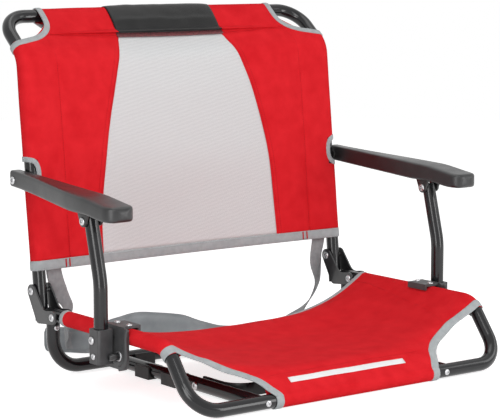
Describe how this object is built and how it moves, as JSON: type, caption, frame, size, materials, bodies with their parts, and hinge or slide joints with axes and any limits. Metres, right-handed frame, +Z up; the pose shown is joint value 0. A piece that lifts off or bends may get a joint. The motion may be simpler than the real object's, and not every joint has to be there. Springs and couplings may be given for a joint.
{
  "type": "folding stadium seat",
  "caption": "Folding stadium seat on bent tubes: cloth back with mesh centre, sling seat, folding arms on posts, a bench hook and a shoulder strap.",
  "frame": {"origin": "on the floor under the middle of the whole seat's box", "axes": "+Z up, -Y towards the front of the seat, +X to the right seen from the front"},
  "size_m": [0.6456, 0.5091, 0.5082],
  "materials": {
    "frame_tube": "gloss black paint",
    "fastener": "bright zinc plating",
    "hinge_plate": "satin black paint",
    "moulding": "fine grain",
    "armrest": "fine grain",
    "foot_rubber": "matte",
    "red_cloth": "coated plain weave",
    "mesh_cloth": "fine mesh",
    "handle_cloth": "soft sleeve",
    "tape": "woven tape",
    "grey_binding": "woven binding",
    "white_strip": "smooth strip",
    "webbing": "woven webbing",
    "strap_pad": "padded cloth"
  },
  "bodies": {
    "seat_frame": {"seat_rail_left": "frame_tube", "seat_rail_right": "frame_tube", "front_bar": "frame_tube", "rear_leg": "frame_tube", "lower_rail_left": "frame_tube", "lower_rail_right": "frame_tube", "hinge_rivets": "fastener", "rail_rivets": "fastener", "leg_screws": "fastener", "front_bar_screws": "fastener", "bracket_screws": "fastener", "post_pivot_bolts": "fastener", "hook_pivot_screws": "fastener", "hinge_plates_left": "hinge_plate", "hinge_plates_right": "hinge_plate", "arm_bracket_left": "moulding", "arm_bracket_right": "moulding", "post_stop_pins": "moulding", "stop_barrels": "moulding", "rail_end_plugs": "moulding", "rail_feet": "foot_rubber", "rear_bar_feet": "foot_rubber", "seat_sling": "red_cloth", "seat_rear_binding": "grey_binding", "seat_corner_bindings": "grey_binding", "seat_label": "white_strip", "strap_webbing_left": "webbing", "strap_webbing_right": "webbing", "strap_pad": "strap_pad"},
    "back_frame": {"upright_left": "frame_tube", "upright_right": "frame_tube", "top_bow": "frame_tube", "upright_end_plugs": "moulding", "back_panel_left": "red_cloth", "back_panel_right": "red_cloth", "back_mesh": "mesh_cloth", "handle_sleeve": "handle_cloth", "seam_tape": "tape", "back_bottom_band": "grey_binding", "corner_bindings": "grey_binding", "notch_bindings": "grey_binding", "arm_pivot_bolts": "fastener", "arm_spacers": "moulding"},
    "armrest_left": {"armrest_left": "armrest", "arm_post_bolt_left": "fastener"},
    "armrest_right": {"armrest_right": "armrest", "arm_post_bolt_right": "fastener"},
    "post_left": {"post_tube_left": "frame_tube", "post_socket_left": "moulding", "socket_screw_left": "fastener"},
    "post_right": {"post_tube_right": "frame_tube", "post_socket_right": "moulding", "socket_screw_right": "fastener"},
    "bench_hook": {"bench_hook": "frame_tube"}
  },
  "joints": [
    {"name": "back_fold", "type": "hinge", "parent": "seat_frame", "child": "back_frame", "pos_m": [0, 0.1293, 0.1175], "axis": [1, 0, 0], "range_deg": [0, 92], "deforming": ["strap_webbing_left", "strap_webbing_right"]},
    {"name": "arm_left_pivot", "type": "hinge", "parent": "back_frame", "child": "armrest_left", "pos_m": [-0.288, 0.14666, 0.27354], "axis": [1, 0, 0], "range_deg": [-92, 0]},
    {"name": "arm_right_pivot", "type": "hinge", "parent": "back_frame", "child": "armrest_right", "pos_m": [0.288, 0.14666, 0.27354], "axis": [1, 0, 0], "range_deg": [-92, 0]},
    {"name": "post_left_pivot", "type": "hinge", "parent": "seat_frame", "child": "post_left", "pos_m": [-0.29775, -0.0727, 0.084], "axis": [1, 0, 0], "range_deg": [0, 92]},
    {"name": "post_right_pivot", "type": "hinge", "parent": "seat_frame", "child": "post_right", "pos_m": [0.29775, -0.0727, 0.084], "axis": [1, 0, 0], "range_deg": [0, 92]},
    {"name": "hook_pivot", "type": "hinge", "parent": "seat_frame", "child": "bench_hook", "pos_m": [0, -0.1107, 0.0115], "axis": [1, 0, 0], "range_deg": [0, 100]}
  ],
  "couplings": [
    {"joint": "arm_left_pivot", "follows": "back_fold", "ratio": -1},
    {"joint": "arm_right_pivot", "follows": "back_fold", "ratio": -1},
    {"joint": "post_left_pivot", "follows": "back_fold", "ratio": 1},
    {"joint": "post_right_pivot", "follows": "back_fold", "ratio": 1}
  ]
}
